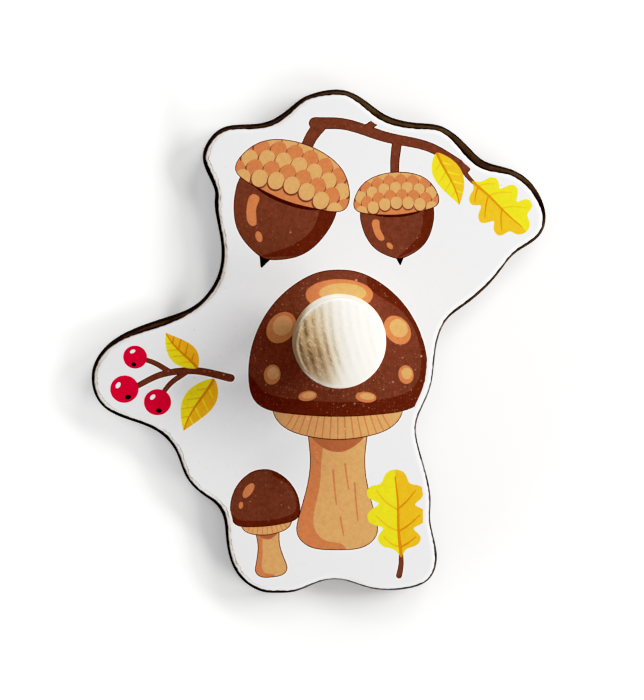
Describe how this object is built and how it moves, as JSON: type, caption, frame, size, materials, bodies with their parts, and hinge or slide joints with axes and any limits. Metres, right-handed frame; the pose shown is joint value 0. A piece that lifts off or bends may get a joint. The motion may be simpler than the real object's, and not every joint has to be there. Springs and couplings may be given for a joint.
{
  "type": "wooden knob puzzle piece",
  "caption": "Flat plywood puzzle piece with a wavy lobed outline, a printed white face and a turned wooden grip knob.",
  "frame": {"origin": "middle of the board's footprint, on the back face that rests on the table", "axes": "+Z out of the printed face towards the knob, +Y up the printed picture along the longest side, +X to the right seen from the front"},
  "size_m": [0.137, 0.1536, 0.026],
  "materials": {
    "veneer": "bare birch veneer with a laser-charred edge",
    "core_veneer": "bare birch core veneer with a laser-charred edge",
    "print": "printed white sheet under satin varnish",
    "knob_wood": "pale turned beech, sanded, unvarnished",
    "screw_steel": "bright zinc plated"
  },
  "bodies": {
    "root": {"back_ply": "veneer", "core_ply": "core_veneer", "face_ply": "veneer", "printed_sheet": "print", "turned_knob": "knob_wood", "knob_screw": "screw_steel"}
  },
  "joints": []
}
